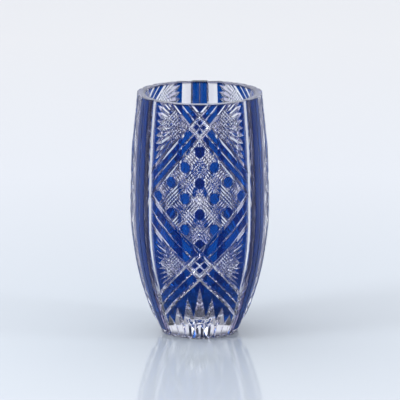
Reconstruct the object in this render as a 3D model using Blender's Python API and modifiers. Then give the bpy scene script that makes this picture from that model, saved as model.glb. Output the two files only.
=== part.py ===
"""Cut-to-clear crystal vase: a heavy barrel of clear crystal, cased in cobalt glass and wheel-cut through it.

The clear body is turned, then cut by the same mitre wheels that leave the cobalt casing as separate islands.
Three panels repeat round the barrel with a striped pillar between each two. The cut pattern is laid out on a
flat plan of (turn, climb), both in degrees. Turn runs round the vase from the middle of a panel, and climb is
the wall's length over its radius, so that an angle on the plan is the same angle on the glass.
Lengths are in metres, +Z is up, the origin is at the middle of the foot, and panel 1 faces -Y.
"""

import collections
import math

import bmesh
import bpy
import numpy as np

# Outer form
HEIGHT = 0.260
BELLY_RADIUS = 0.0742
BELLY_HEIGHT = 0.138
RIM_LEAN = 0.0073
FOOT_LEAN = 0.0324
FOOT_ROUND = 0.006
FOOT_CHAMFER = 0.0043

# Hollow
RIM_WALL = 0.0089
BELLY_WALL = 0.0100
BASE_THICKNESS = 0.022
CAVITY_SQUARENESS = 3.5
LIP_ROUND = 0.0008

# Cobalt casing and the clearance that stands for its fused bond
CASING = 0.0008
BOND_GAP = 0.0003
CASING_FOOT = 0.0065

# Plan of the cuts, in degrees of turn unless a name says otherwise
PANELS = 3
PILLAR_STRIPE = 6.7
PILLAR_MITRE = 10.1
CROSS_BELOW_RIM = 0.0235
CROSS_ABOVE_FOOT = 0.0873
UPPER_BAND_HALF = 6.6
LOWER_BAND_HALF = 8.6
BAND_MITRE = 4.4
STRIPE_GAP = 0.7
FIELD_HEIGHT = 0.1605
FIELD_OVERRUN = 0.6
BUTTON_ROWS = 4
BUTTON_TURN = 12.2
BUTTON_RISE = 12.95
BUTTON_HALF_TALL = 4.25
BUTTON_HALF_WIDE = 3.7
SQUARE_NEAR_SHARE = 0.135
SQUARE_FAR_SHARE = 0.58
BOSS_ROOT = 0.001
FAN_RAYS = 8
FAN_TIP_FROM_EDGE = 2.4
UPPER_FAN_DEPTH = 10.0
LOWER_FAN_DEPTH = 15.0
SWORDS = 7
SWORD_TIP_GAP = 2.4
SWORD_TAPER = 0.19
SWORD_SPREAD = 1.36

# Wheel profiles, as included angles in degrees
MITRE_WHEEL = 100.0
PILLAR_WHEEL = 118.0

# Facets
SEGMENTS = 48
OUTER_RINGS = 11
CAVITY_RINGS = 9
CUT_STEP = 12.0
CUT_ABOVE = 0.004

CRYSTAL_COLOUR = (0.93, 0.95, 0.98, 1.0)
COBALT_COLOUR = (0.012, 0.045, 0.36, 1.0)

RIM_RADIUS = BELLY_RADIUS - RIM_LEAN
FOOT_RADIUS = BELLY_RADIUS - FOOT_LEAN
CONTACT_RADIUS = FOOT_RADIUS - FOOT_CHAMFER
PANEL_TURN = 360.0 / PANELS
PILLAR_HALF = PILLAR_STRIPE + PILLAR_MITRE
PANEL_HALF = PANEL_TURN / 2 - PILLAR_HALF
CRYSTAL_INSET = CASING + BOND_GAP


# Turned form

def arc_drop(distance, reach, drop):
    """How far an arc that is upright at its start has leant in, where it leans in by drop over reach."""
    arc_radius = (reach**2 + drop**2) / (2 * drop)
    return arc_radius - np.sqrt(arc_radius**2 - distance**2)


def outer_radius(height):
    """Radius of the cased barrel before cutting: two arcs that meet upright at the belly."""
    height = np.asarray(height, float)
    above = np.clip(height - BELLY_HEIGHT, 0, None)
    below = np.clip(BELLY_HEIGHT - height, 0, None)
    rim_drop = arc_drop(above, HEIGHT - BELLY_HEIGHT, RIM_LEAN)
    foot_drop = arc_drop(below, BELLY_HEIGHT, FOOT_LEAN)
    return BELLY_RADIUS - rim_drop - foot_drop


def cavity_radius(height):
    """Radius of the hollow: an arc above the belly, a squared-off bowl below it."""
    height = np.asarray(height, float)
    belly = BELLY_RADIUS - BELLY_WALL
    rim = RIM_RADIUS - RIM_WALL
    above = np.clip(height - BELLY_HEIGHT, 0, None)
    below = np.clip(BELLY_HEIGHT - height, 0, None) / (BELLY_HEIGHT - BASE_THICKNESS)
    bowl = np.sqrt(np.clip(1 - below**CAVITY_SQUARENESS, 0, None))
    return belly * bowl - arc_drop(above, HEIGHT - BELLY_HEIGHT, belly - rim)


def ring_heights():
    """Heights of the facets' rings on the outer wall, from the rim down to the foot's rounding."""
    return np.linspace(HEIGHT, FOOT_ROUND, OUTER_RINGS)


def crystal_profile():
    """Half section of the clear body, from the hollow's floor up, over the lip and down to the foot."""
    bowl_angles = np.linspace(0, math.pi / 2, CAVITY_RINGS)
    bowl_heights = BELLY_HEIGHT - (BELLY_HEIGHT - BASE_THICKNESS) * np.cos(bowl_angles)
    neck_heights = np.linspace(BELLY_HEIGHT, HEIGHT - LIP_ROUND, CAVITY_RINGS // 2)[1:]
    inner = [(float(cavity_radius(z)), float(z)) for z in (*bowl_heights, *neck_heights)]
    inner[0] = (0.0, BASE_THICKNESS)
    lip_inner = float(cavity_radius(HEIGHT)) + LIP_ROUND
    lip_outer = float(outer_radius(HEIGHT)) - CRYSTAL_INSET
    outer = [(float(outer_radius(z)) - CRYSTAL_INSET, float(z)) for z in ring_heights()]
    shoulder = outer[-1][0]
    foot = [
        (CONTACT_RADIUS + (shoulder - CONTACT_RADIUS) * math.sin(turn), FOOT_ROUND * (1 - math.cos(turn)))
        for turn in (math.pi / 3, math.pi / 6, 0.0)
    ]
    return [*inner, (lip_inner, HEIGHT), (lip_outer, HEIGHT), *outer[1:], *foot, (0.0, 0.0)]


# Plan of the cuts

def climb_table():
    """Heights from below the foot to above the rim, with the climb in degrees at each."""
    heights = np.linspace(-0.06 * HEIGHT, 1.35 * HEIGHT, 4000)
    radii = outer_radius(heights)
    lengths = np.hypot(np.diff(heights), np.diff(radii))
    climbs = np.concatenate([[0.0], np.cumsum(lengths / ((radii[1:] + radii[:-1]) / 2))])
    return heights, np.degrees(climbs)


HEIGHTS, CLIMBS = climb_table()


def climb_at(height):
    return float(np.interp(height, HEIGHTS, CLIMBS))


def height_at(climb):
    return float(np.interp(climb, CLIMBS, HEIGHTS))


RIM_CLIMB = climb_at(HEIGHT)
FOOT_CLIMB = climb_at(0.0)
FIELD_MIDDLE = climb_at(FIELD_HEIGHT)

# The slope is climb over turn, and per_degree the climb between parallel diagonals one degree apart
Cross = collections.namedtuple("Cross", "climb half fan_depth slope per_degree")


def crossed_bands(height, half, fan_depth):
    """A cross with its bands as steep as brings their borders to the points at the field's two sides."""
    climb = climb_at(height)
    rise = abs(climb - FIELD_MIDDLE)
    width = PANEL_HALF + FIELD_OVERRUN
    square = width**2 - half**2
    slope = (rise * width - half * math.sqrt(rise**2 + square)) / square
    return Cross(climb, half, fan_depth, slope, math.hypot(1.0, slope))


UPPER_CROSS = crossed_bands(HEIGHT - CROSS_BELOW_RIM, UPPER_BAND_HALF, UPPER_FAN_DEPTH)
LOWER_CROSS = crossed_bands(CROSS_ABOVE_FOOT, LOWER_BAND_HALF, LOWER_FAN_DEPTH)


def plan_to_glass(turn, climb, lift=0.0):
    """Point on the barrel, lifted outwards from the surface before cutting."""
    height = height_at(climb)
    radius = float(outer_radius(height)) + lift
    angle = math.radians(turn)
    return (radius * math.sin(angle), -radius * math.cos(angle), height)


def local_radius(climb):
    return float(outer_radius(height_at(climb)))


def local_length(degrees, climb):
    """Length on the glass of a distance on the plan."""
    return math.radians(degrees) * local_radius(climb)


def stepped(start, end):
    """Points along a line on the plan, no more than CUT_STEP apart."""
    steps = max(1, math.ceil(math.dist(start, end) / CUT_STEP))
    return [tuple(point) for point in np.linspace(start, end, steps + 1).tolist()]


# Blender helpers

def clear_scene():
    for item in list(bpy.data.objects):
        bpy.data.objects.remove(item, do_unlink=True)


def new_collection(name, parent):
    collection = bpy.data.collections.new(name)
    parent.children.link(collection)
    return collection


def new_object(name, mesh, collection):
    made = bpy.data.objects.new(name, mesh)
    collection.objects.link(made)
    return made


def new_helper(name, mesh, collection):
    made = new_object(name, mesh, collection)
    made.hide_render = True
    made.display_type = "WIRE"
    return made


def glass_material(name, colour):
    material = bpy.data.materials.new(name)
    material.use_nodes = True
    shader = material.node_tree.nodes["Principled BSDF"]
    shader.inputs["Base Color"].default_value = colour
    shader.inputs["Roughness"].default_value = 0.02
    shader.inputs["Metallic"].default_value = 0.0
    shader.inputs["IOR"].default_value = 1.54
    shader.inputs["Transmission Weight"].default_value = 1.0
    return material


def mesh_from(name, build):
    """Mesh made by a function that fills a bmesh, with doubles merged and faces pointing out."""
    shape = bmesh.new()
    build(shape)
    bmesh.ops.remove_doubles(shape, verts=shape.verts, dist=1e-6)
    bmesh.ops.recalc_face_normals(shape, faces=shape.faces)
    mesh = bpy.data.meshes.new(name)
    shape.to_mesh(mesh)
    shape.free()
    return mesh


def turned(made, profile):
    """Gives an object the profile's edges and turns them about Z."""
    points = [(radius, 0.0, height) for radius, height in profile]
    edges = [(i, i + 1) for i in range(len(points) - 1)]
    made.data.from_pydata(points, edges, [])
    screw = made.modifiers.new("turn", "SCREW")
    screw.steps = screw.render_steps = SEGMENTS
    screw.use_merge_vertices = True
    screw.merge_threshold = 1e-5


def boolean(made, operation, other, solver="EXACT"):
    """Adds a Boolean with another object, or with a collection of them."""
    modifier = made.modifiers.new(operation.lower(), "BOOLEAN")
    modifier.operation = operation
    modifier.solver = solver
    if isinstance(other, bpy.types.Collection):
        modifier.operand_type = "COLLECTION"
        modifier.collection = other
    else:
        modifier.object = other


def settled_mesh(made):
    """The object's mesh with its modifiers applied."""
    graph = bpy.context.evaluated_depsgraph_get()
    return bpy.data.meshes.new_from_object(made.evaluated_get(graph))


# Cutters

def mitre(name, path, depths, wheel, collection):
    """A V-section carried along a path on the plan: edge sunk by depths, sides at the wheel's angle."""
    spread = math.tan(math.radians(wheel / 2))

    def build(shape):
        rings = []
        for index, (turn, climb) in enumerate(path):
            before, after = path[max(index - 1, 0)], path[min(index + 1, len(path) - 1)]
            along = (after[0] - before[0], after[1] - before[1])
            length = math.hypot(*along)
            half = math.degrees((depths[index] + CUT_ABOVE) * spread / local_radius(climb))
            side = (-along[1] / length * half, along[0] / length * half)
            rings.append([
                shape.verts.new(plan_to_glass(turn, climb, -depths[index])),
                shape.verts.new(plan_to_glass(turn + side[0], climb + side[1], CUT_ABOVE)),
                shape.verts.new(plan_to_glass(turn - side[0], climb - side[1], CUT_ABOVE)),
            ])
        shape.faces.new(rings[0])
        shape.faces.new(rings[-1])
        for ring, following in zip(rings, rings[1:]):
            for corner in range(3):
                other = (corner + 1) % 3
                shape.faces.new((ring[corner], ring[other], following[other], following[corner]))

    return new_helper(name, mesh_from(name, build), collection)


def straight_mitre(name, start, end, width, wheel, collection):
    """A mitre of one width in degrees between two points on the plan."""
    path = stepped(start, end)
    depths = [local_length(width / 2, climb) / math.tan(math.radians(wheel / 2)) for _, climb in path]
    return mitre(name, path, depths, wheel, collection)


def casing_patch(name, outline, collection):
    """The casing under an outline on the plan, in the facets of the turned body, trimmed at rim and foot."""
    top, bottom = RIM_CLIMB, climb_at(CASING_FOOT)

    def build(shape):
        shape.faces.new([shape.verts.new((turn, climb, 0.0)) for turn, climb in outline])
        for climb, keep in ((top, (0, 1, 0)), (bottom, (0, -1, 0))):
            everything = [*shape.verts, *shape.edges, *shape.faces]
            bmesh.ops.bisect_plane(
                shape, geom=everything, plane_co=(0, climb, 0), plane_no=keep, clear_outer=True
            )
        lines = [((0, climb_at(height), 0), (0, 1, 0)) for height in ring_heights()[1:-1]]
        steps = range(-SEGMENTS // 4, SEGMENTS // 4)
        lines += [((360.0 / SEGMENTS * step, 0, 0), (1, 0, 0)) for step in steps]
        for point, across in lines:
            everything = [*shape.verts, *shape.edges, *shape.faces]
            bmesh.ops.bisect_plane(shape, geom=everything, plane_co=point, plane_no=across)
        made = bmesh.ops.extrude_face_region(shape, geom=list(shape.faces))["geom"]
        lifted = {vert for vert in made if isinstance(vert, bmesh.types.BMVert)}
        for vert in shape.verts:
            vert.co = plan_to_glass(vert.co.x, vert.co.y, 0.0 if vert in lifted else -CASING)

    return new_helper(name, mesh_from(name, build), collection)


def pillar_mitres(collection, middles, offset):
    """A deep mitre at this offset either side of each middle, from below the foot to above the rim."""
    for middle in middles:
        for side in (-1, 1):
            turn = middle + side * offset
            start, end = (turn, FOOT_CLIMB - 4), (turn, RIM_CLIMB + 6)
            straight_mitre("pillar_mitre", start, end, PILLAR_MITRE, PILLAR_WHEEL, collection)


def cross_mitres(collection, cross):
    """The four mitres that border the two bands of a cross on panel 1."""
    reach = PANEL_HALF + PILLAR_MITRE / 2
    for lean in (-1, 1):
        for side in (-1, 1):
            middle = cross.climb + side * cross.half * cross.per_degree
            start = (-reach, middle - lean * cross.slope * reach)
            end = (reach, middle + lean * cross.slope * reach)
            straight_mitre("band_mitre", start, end, BAND_MITRE, MITRE_WHEEL, collection)


def sword_turns():
    pitch = 2 * PANEL_HALF / SWORDS
    return [(index - (SWORDS - 1) / 2) * pitch for index in range(SWORDS)]


def sword_cuts(collection, panel_turns):
    """The pointed cuts that rise from the foot and part the casing into a crown of teeth."""
    widest = SWORD_SPREAD * PANEL_HALF / SWORDS
    spread = math.tan(math.radians(MITRE_WHEEL / 2))
    below_cross = (LOWER_CROSS.half + BAND_MITRE / 2) * LOWER_CROSS.per_degree + SWORD_TIP_GAP
    lowest = FOOT_CLIMB - 4
    for panel_turn in panel_turns:
        for turn in sword_turns():
            tip = LOWER_CROSS.climb - below_cross - LOWER_CROSS.slope * abs(turn)
            above_tip = math.degrees(CUT_ABOVE * spread / local_radius(tip)) / SWORD_TAPER
            full = max(tip - widest / SWORD_TAPER, lowest + 2)
            climbs = [tip + above_tip, tip, (tip + full) / 2, full]
            climbs += [climb for _, climb in stepped((0, full), (0, lowest))[1:]]
            halves = [min(widest, (tip - climb) * SWORD_TAPER) for climb in climbs]
            depths = [local_length(half, climb) / spread for half, climb in zip(halves, climbs)]
            depths[0] = -CUT_ABOVE
            path = [(panel_turn + turn, climb) for climb in climbs]
            mitre("sword_cut", path, depths, MITRE_WHEEL, collection)


# Outlines of the casing's islands on the plan of panel 1

def band_outline(cross, right, up):
    """One arm of a cross, between the border mitres of its own band and out from that of the other."""
    lean = cross.slope * right * up
    near = cross.half * cross.per_degree
    far = PANEL_HALF + PILLAR_MITRE / 3
    corners = []
    for side in (-1, 1):
        shift = side * near
        meeting = (up * near - shift) / (2 * lean)
        corners.append((meeting, cross.climb + shift + lean * meeting))
        corners.append((right * far, cross.climb + shift + lean * right * far))
    return [corners[0], corners[1], corners[3], corners[2]]


def fan_outline(cross, right):
    """The strip of ground along the panel's edge, toothed where the fan's rays run into it."""
    apex = (cross.half + BAND_MITRE / 2) * cross.per_degree / cross.slope
    edge = PANEL_HALF + PILLAR_MITRE / 3
    tip, valley = PANEL_HALF - FAN_TIP_FROM_EDGE, PANEL_HALF - cross.fan_depth
    teeth = []
    for index in range(2 * FAN_RAYS + 1):
        share = index / FAN_RAYS - 1
        reach = tip if index % 2 else valley
        climb = cross.climb + cross.slope * share * (reach - apex)
        teeth.append((right * reach, climb))
        # A tooth that has passed the rim ends the row, so that the rim parts no crumb from the strip
        if climb > RIM_CLIMB:
            break
    rise = cross.slope * (edge - apex)
    return [(right * edge, cross.climb + rise), (right * edge, cross.climb - rise), *teeth]


def crown_outline():
    """Everything below the lower cross, down past the points where the sword cuts have met."""
    edge = PANEL_HALF + PILLAR_MITRE / 3
    top = LOWER_CROSS.climb - LOWER_CROSS.half * LOWER_CROSS.per_degree
    bottom = climb_at(CASING_FOOT) - 3
    side = top - LOWER_CROSS.slope * edge
    return [(0, top), (edge, side), (edge, bottom), (-edge, bottom), (-edge, side)]


def rim_outline():
    """The small triangle between the upper cross and the rim."""
    top = RIM_CLIMB + 4
    bottom = UPPER_CROSS.climb + UPPER_CROSS.half * UPPER_CROSS.per_degree
    half = (top - bottom) / UPPER_CROSS.slope
    return [(0, bottom), (half, top), (-half, top)]


def stripe_outline(side):
    """One of the two stripes of the pillar at turn 0, out to the middle of its mitre."""
    edge = side * (PILLAR_STRIPE + PILLAR_MITRE / 3)
    inner = side * STRIPE_GAP / 2
    top, bottom = RIM_CLIMB + 4, FOOT_CLIMB - 3
    return [(inner, bottom), (edge, bottom), (edge, top), (inner, top)]


def button_outlines():
    """The eight-sided buttons of the field, in a square turned on its point."""
    corners = [math.radians(22.5 + 45 * corner) for corner in range(8)]
    outlines = []
    for row in range(BUTTON_ROWS):
        for column in range(BUTTON_ROWS):
            turn = (row - column) * BUTTON_TURN
            climb = FIELD_MIDDLE + (row + column - BUTTON_ROWS + 1) * BUTTON_RISE
            outlines.append([
                (turn + BUTTON_HALF_WIDE * math.cos(angle), climb + BUTTON_HALF_TALL * math.sin(angle))
                for angle in corners
            ])
    return outlines


def square_outlines(cross):
    """The four small squares where the two bands of a cross run through each other."""
    near, far = SQUARE_NEAR_SHARE * cross.half, SQUARE_FAR_SHARE * cross.half
    spans = ((near, far), (-far, -near))
    return [
        [diagonal_point(cross, rising[i], falling[j]) for i, j in ((0, 0), (1, 0), (1, 1), (0, 1))]
        for rising in spans for falling in spans
    ]


def diagonal_point(cross, rising, falling):
    """The plan point at these distances from the rising and the falling middle line of a cross."""
    turn = (falling - rising) * cross.per_degree / (2 * cross.slope)
    return turn, cross.climb + (rising + falling) * cross.per_degree / 2


# The pieces

def make_bosses(collection, panel_turns):
    """The field's buttons and the crosses' squares of every panel, rooted below the clear body's surface."""
    outlines = [*button_outlines(), *square_outlines(UPPER_CROSS), *square_outlines(LOWER_CROSS)]

    def build(shape):
        for panel_turn in panel_turns:
            for outline in outlines:
                root, top = (
                    [shape.verts.new(plan_to_glass(panel_turn + t, climb, lift)) for t, climb in outline]
                    for lift in (-CRYSTAL_INSET - BOSS_ROOT, 0.0)
                )
                shape.faces.new(root)
                shape.faces.new(top)
                for index in range(len(outline)):
                    shape.faces.new((root[index - 1], root[index], top[index], top[index - 1]))

    return new_helper("bosses", mesh_from("bosses", build), collection)


def make_crystal(parts, cutters, bosses, material):
    """The clear body: turned, cut by the pillars' mitres and the swords, with the smallest islands on it."""
    crystal = new_object("crystal_body", bpy.data.meshes.new("crystal_body"), parts)
    turned(crystal, crystal_profile())
    crystal.data.materials.append(material)
    boolean(crystal, "DIFFERENCE", cutters)
    boolean(crystal, "UNION", bosses)
    return crystal


def make_islands(helpers):
    """Meshes of the casing's islands on panel 1, and of the two stripes of a pillar at turn 0, by name."""
    cuts = {name: new_collection(name + "_cuts", helpers) for name in ("panel_edge", "stripe_edge", "sword")}
    pillar_mitres(cuts["panel_edge"], [0.0], PANEL_HALF + PILLAR_MITRE / 2)
    pillar_mitres(cuts["stripe_edge"], [0.0], PILLAR_STRIPE + PILLAR_MITRE / 2)
    sword_cuts(cuts["sword"], [0.0])
    for name, cross in (("upper", UPPER_CROSS), ("lower", LOWER_CROSS)):
        cuts[name] = new_collection(f"{name}_cross_cuts", helpers)
        cross_mitres(cuts[name], cross)

    plans = {}
    for name, cross in (("upper", UPPER_CROSS), ("lower", LOWER_CROSS)):
        for up, level in ((1, "top"), (-1, "bottom")):
            for right, side in ((-1, "left"), (1, "right")):
                outline = band_outline(cross, right, up)
                plans[f"{name}_cross_{level}_{side}_band"] = (outline, [name, "panel_edge"])
        for right, side in ((-1, "left"), (1, "right")):
            plans[f"{name}_fan_ground_{side}"] = (fan_outline(cross, right), [name, "panel_edge"])
    plans["base_crown"] = (crown_outline(), ["lower", "sword", "panel_edge"])
    plans["rim_point"] = (rim_outline(), ["upper"])
    for right, side in ((-1, "left"), (1, "right")):
        plans[f"stripe_{side}"] = (stripe_outline(right), ["stripe_edge"])

    meshes = {}
    for name, (outline, cut_names) in plans.items():
        patch = casing_patch(name + "_patch", outline, helpers)
        # The exact solver leaves slivers where the cuts meet in so thin a sheet
        for cut_name in cut_names:
            boolean(patch, "DIFFERENCE", cuts[cut_name], "MANIFOLD")
        meshes[name] = settled_mesh(patch)
        bpy.data.objects.remove(patch, do_unlink=True)
    return meshes


def place_islands(meshes, parts, material):
    """Hangs a copy of each island on its panel or pillar, which is an empty turned about the vase's axis."""
    for mesh in meshes.values():
        mesh.materials.clear()
        mesh.materials.append(material)
    for index in range(PANELS):
        for kind, offset in (("panel", 0.0), ("pillar", PANEL_TURN / 2)):
            carrier = bpy.data.objects.new(f"{kind}_{index + 1}", None)
            parts.objects.link(carrier)
            carrier.rotation_euler.z = math.radians(index * PANEL_TURN + offset)
            for name, mesh in meshes.items():
                if name.startswith("stripe") == (kind == "pillar"):
                    island = new_object(f"{kind}{index + 1}_{name}", mesh, parts)
                    island.parent = carrier


def main():
    clear_scene()
    parts = new_collection("cut_crystal_vase", bpy.context.scene.collection)
    helpers = new_collection("cutters", bpy.context.scene.collection)
    body_cuts = new_collection("body_cuts", helpers)
    crystal_glass = glass_material("clear_crystal", CRYSTAL_COLOUR)
    cobalt_glass = glass_material("cobalt_casing", COBALT_COLOUR)

    panel_turns = [index * PANEL_TURN for index in range(PANELS)]
    pillar_mitres(body_cuts, panel_turns, PANEL_HALF + PILLAR_MITRE / 2)
    sword_cuts(body_cuts, panel_turns)

    make_crystal(parts, body_cuts, make_bosses(helpers, panel_turns), crystal_glass)
    place_islands(make_islands(helpers), parts, cobalt_glass)


main()
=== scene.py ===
import math

import bpy
import numpy as np
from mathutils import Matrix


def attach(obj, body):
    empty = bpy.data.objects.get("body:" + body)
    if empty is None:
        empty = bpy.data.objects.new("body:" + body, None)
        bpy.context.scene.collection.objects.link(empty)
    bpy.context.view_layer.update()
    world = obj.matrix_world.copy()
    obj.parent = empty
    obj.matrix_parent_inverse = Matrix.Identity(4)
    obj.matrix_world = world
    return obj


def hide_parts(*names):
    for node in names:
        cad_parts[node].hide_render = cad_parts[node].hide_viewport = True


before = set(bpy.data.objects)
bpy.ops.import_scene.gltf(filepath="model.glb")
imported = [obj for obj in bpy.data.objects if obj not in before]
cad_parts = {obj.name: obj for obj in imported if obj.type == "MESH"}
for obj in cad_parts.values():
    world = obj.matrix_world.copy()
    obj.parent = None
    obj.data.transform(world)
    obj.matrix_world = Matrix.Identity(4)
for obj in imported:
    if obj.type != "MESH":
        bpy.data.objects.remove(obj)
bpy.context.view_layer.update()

scene = bpy.context.scene


# the turned barrel, in metres: the outline of the CAD, with a thinner casing that lies closer to the body
barrel = {
    "height": 0.260, "bellyRadius": 0.0742, "bellyHeight": 0.138, "rimLean": 0.0073, "footLean": 0.0324,
    "footRound": 0.006, "footChamfer": 0.0043, "rimWall": 0.0089, "bellyWall": 0.0100, "baseThickness": 0.022,
    "hollowSquareness": 3.5, "lipRound": 0.0009, "casing": 0.0005, "bond": 0.00002, "casingFoot": 0.0065,
}


# lean of an arc that starts upright: r - sqrt(r^2 - d^2), with r set by the lean it has at its reach
def arcLean(distance, reach, lean):
    arcRadius = (reach**2 + lean**2) / (2 * lean)
    return arcRadius - np.sqrt(arcRadius**2 - distance**2)


# outer wall before cutting: belly radius less the arc towards the rim or the arc towards the foot
def wallRadius(z):
    above = np.clip(z - barrel["bellyHeight"], 0, None)
    below = np.clip(barrel["bellyHeight"] - z, 0, None)
    rimSide = arcLean(above, barrel["height"] - barrel["bellyHeight"], barrel["rimLean"])
    return barrel["bellyRadius"] - rimSide - arcLean(below, barrel["bellyHeight"], barrel["footLean"])


# hollow: an arc above the belly, and below it a bowl sqrt(1 - t^n) with t from 0 at the belly to 1 at the floor
def hollowRadius(z):
    belly = barrel["bellyRadius"] - barrel["bellyWall"]
    rim = barrel["bellyRadius"] - barrel["rimLean"] - barrel["rimWall"]
    above = np.clip(z - barrel["bellyHeight"], 0, None)
    below = np.clip(barrel["bellyHeight"] - z, 0, None) / (barrel["bellyHeight"] - barrel["baseThickness"])
    bowl = np.sqrt(np.clip(1 - below**barrel["hollowSquareness"], 0, None))
    return belly * bowl - arcLean(above, barrel["height"] - barrel["bellyHeight"], belly - rim)


# plan of the cuts: turn round the axis and climb = sum of wall length / radius, both in degrees,
# so that straight lines on the plan keep their angles on the glass
planSamples = {"low": -0.02, "high": 0.36, "count": 8000}
heightSamples = np.linspace(planSamples["low"], planSamples["high"], planSamples["count"])
radiusSamples = wallRadius(heightSamples)
stepLengths = np.hypot(np.diff(heightSamples), np.diff(radiusSamples)) / (radiusSamples[1:] + radiusSamples[:-1]) * 2
climbSamples = np.degrees(np.concatenate([[0.0], np.cumsum(stepLengths)]))


def climbOf(z):
    return np.interp(z, heightSamples, climbSamples)


def radiusAt(climb):
    return wallRadius(np.interp(climb, climbSamples, heightSamples))


# point on the wall at (turn, climb), moved out by lift; turn 0 is the front, -Y
def onGlass(turn, climb, lift):
    z = np.interp(climb, climbSamples, heightSamples)
    radius = wallRadius(z) + lift
    angle = np.radians(turn)
    return np.stack([radius * np.sin(angle), -radius * np.cos(angle), z], axis=-1)


# where the motifs lie on the plan, in degrees; the crosses and the middle of the field are placed in metres
layout = {
    "panels": 3, "pillarStripe": 6.7, "pillarMitre": 10.1, "upperBand": 6.6, "lowerBand": 8.6, "bandMitre": 4.4,
    "fieldOverrun": 0.6, "crossBelowRim": 0.0235, "crossAboveFoot": 0.0873, "fieldHeight": 0.1605, "buttonTurn": 12.2,
    "buttonRise": 12.95, "buttonRows": 4,
}
panelTurn = 360.0 / layout["panels"]
panelHalf = panelTurn / 2 - layout["pillarStripe"] - layout["pillarMitre"]
upperCross = float(climbOf(barrel["height"] - layout["crossBelowRim"]))
lowerCross = float(climbOf(layout["crossAboveFoot"]))
rimClimb = float(climbOf(barrel["height"]))
footClimb = float(climbOf(0.0))
fieldMiddle = float(climbOf(layout["fieldHeight"]))
fieldWide = panelHalf + layout["fieldOverrun"]


# climb over turn of a band, so that its border meets the field's side point:
# k = (a w - p sqrt(a^2 + w^2 - p^2)) / (w^2 - p^2), for rise a, field half-width w and band half-width p
def bandSlope(rise, half):
    square = fieldWide**2 - half**2
    return (rise * fieldWide - half * math.sqrt(rise**2 + square)) / square


upperSlope = bandSlope(upperCross - fieldMiddle, layout["upperBand"])
lowerSlope = bandSlope(fieldMiddle - lowerCross, layout["lowerBand"])
crosses = (
    ("upper", upperCross, layout["upperBand"], upperSlope),
    ("lower", lowerCross, layout["lowerBand"], lowerSlope),
)
panelTurns = np.arange(layout["panels"]) * panelTurn
print("plan: slopes", round(upperSlope, 3), round(lowerSlope, 3), "climb", round(rimClimb - footClimb, 1))


# plan point at distance p from the rising and q from the falling middle line of a cross at this climb
def diagonalPoint(centre, p, q, slope):
    p, q = np.broadcast_arrays(np.asarray(p, float), np.asarray(q, float))
    perDegree = math.hypot(1.0, slope)
    return (q - p) * perDegree / (2 * slope), centre + (p + q) * perDegree / 2


# ends of the stretch of a slanted line that lies in the field, less a margin from its borders
def fieldStretch(lean, offset, margin):
    middle = fieldMiddle + offset
    low, high = -panelHalf, panelHalf
    for up, (level, cross, bandHalf, slope) in zip((1, -1), crosses):
        limit = up * (cross - fieldMiddle) - (bandHalf + margin) * math.hypot(1.0, slope)
        room = limit - up * offset
        for right in (-1, 1):
            # right * slope * turn + up * (climb - fieldMiddle) <= limit
            rate = right * slope + up * lean
            if rate > 0:
                high = min(high, room / rate)
            else:
                low = max(low, room / rate)
    return (low, middle + lean * low), (high, middle + lean * high)


def dropHelper(helper):
    mesh = helper.data
    bpy.data.objects.remove(helper, do_unlink=True)
    bpy.data.meshes.remove(mesh)


# material slots of the clear body; a casing piece uses the first two
finishSlots = {"polished": 0, "bond": 1, "hatched": 2, "cut": 3}


# every blank and wheel has all the slots, empty, so that a cut face keeps the slot its wheel gives it
def putMesh(name, points, faces, finish=finishSlots["polished"]):
    mesh = bpy.data.meshes.new(name)
    mesh.from_pydata(points.tolist(), [], faces)
    for slot in finishSlots:
        mesh.materials.append(None)
    mesh.polygons.foreach_set("material_index", np.full(len(faces), finish, np.int32))
    made = bpy.data.objects.new(name, mesh)
    scene.collection.objects.link(made)
    return made


# six times the volume, positive where the faces point out
def signedVolume(points, triangles):
    return np.einsum("ij,ij->", points[triangles[:, 0]], np.cross(points[triangles[:, 1]], points[triangles[:, 2]]))


# closed bars from (cuts, stations, 3 corners, xyz) rings: walls from station to station and a cap at each end
def barMesh(name, rings, finish):
    cuts, stations = rings.shape[:2]
    index = np.arange(cuts * stations * 3).reshape(cuts, stations, 3)
    turned = np.roll(index, -1, axis=2)
    walls = np.stack([index[:, :-1], turned[:, :-1], turned[:, 1:], index[:, 1:]], axis=-1).reshape(-1, 4)
    caps = np.concatenate([index[:, 0, ::-1], index[:, -1]])
    points = rings.reshape(-1, 3)
    if signedVolume(points, np.concatenate([walls[:, :3], walls[:, [0, 2, 3]], caps])) < 0:
        walls, caps = walls[:, ::-1], caps[:, ::-1]
    return putMesh(name, points, walls.tolist() + caps.tolist(), finish)


# V-section carried along paths on the plan: edge sunk by depth, sides at half the wheel's angle, top proud of the wall.
# turn, climb and depth are (cuts, stations) arrays; the sides go out along the path's normal
# by (depth + proud) tan(wheel / 2). tilt moves the edge to one side by that share of the half-width
# and leaves the width at the wall as it is
def wheelCuts(name, turn, climb, depth, wheel, proud, finish, tilt):
    alongTurn, alongClimb = np.gradient(turn, axis=1), np.gradient(climb, axis=1)
    length = np.hypot(alongTurn, alongClimb)
    acrossTurn, acrossClimb = -alongClimb / length, alongTurn / length
    perDepth = np.degrees(math.tan(math.radians(wheel / 2)) / radiusAt(climb))
    edge = tilt * depth * perDepth
    left, right = (depth + proud - tilt * proud) * perDepth, -(depth + proud + tilt * proud) * perDepth
    rings = np.stack([
        onGlass(turn + acrossTurn * edge, climb + acrossClimb * edge, -depth),
        onGlass(turn + acrossTurn * left, climb + acrossClimb * left, proud),
        onGlass(turn + acrossTurn * right, climb + acrossClimb * right, proud),
    ], axis=2)
    return barMesh(name, rings, finish)


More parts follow.
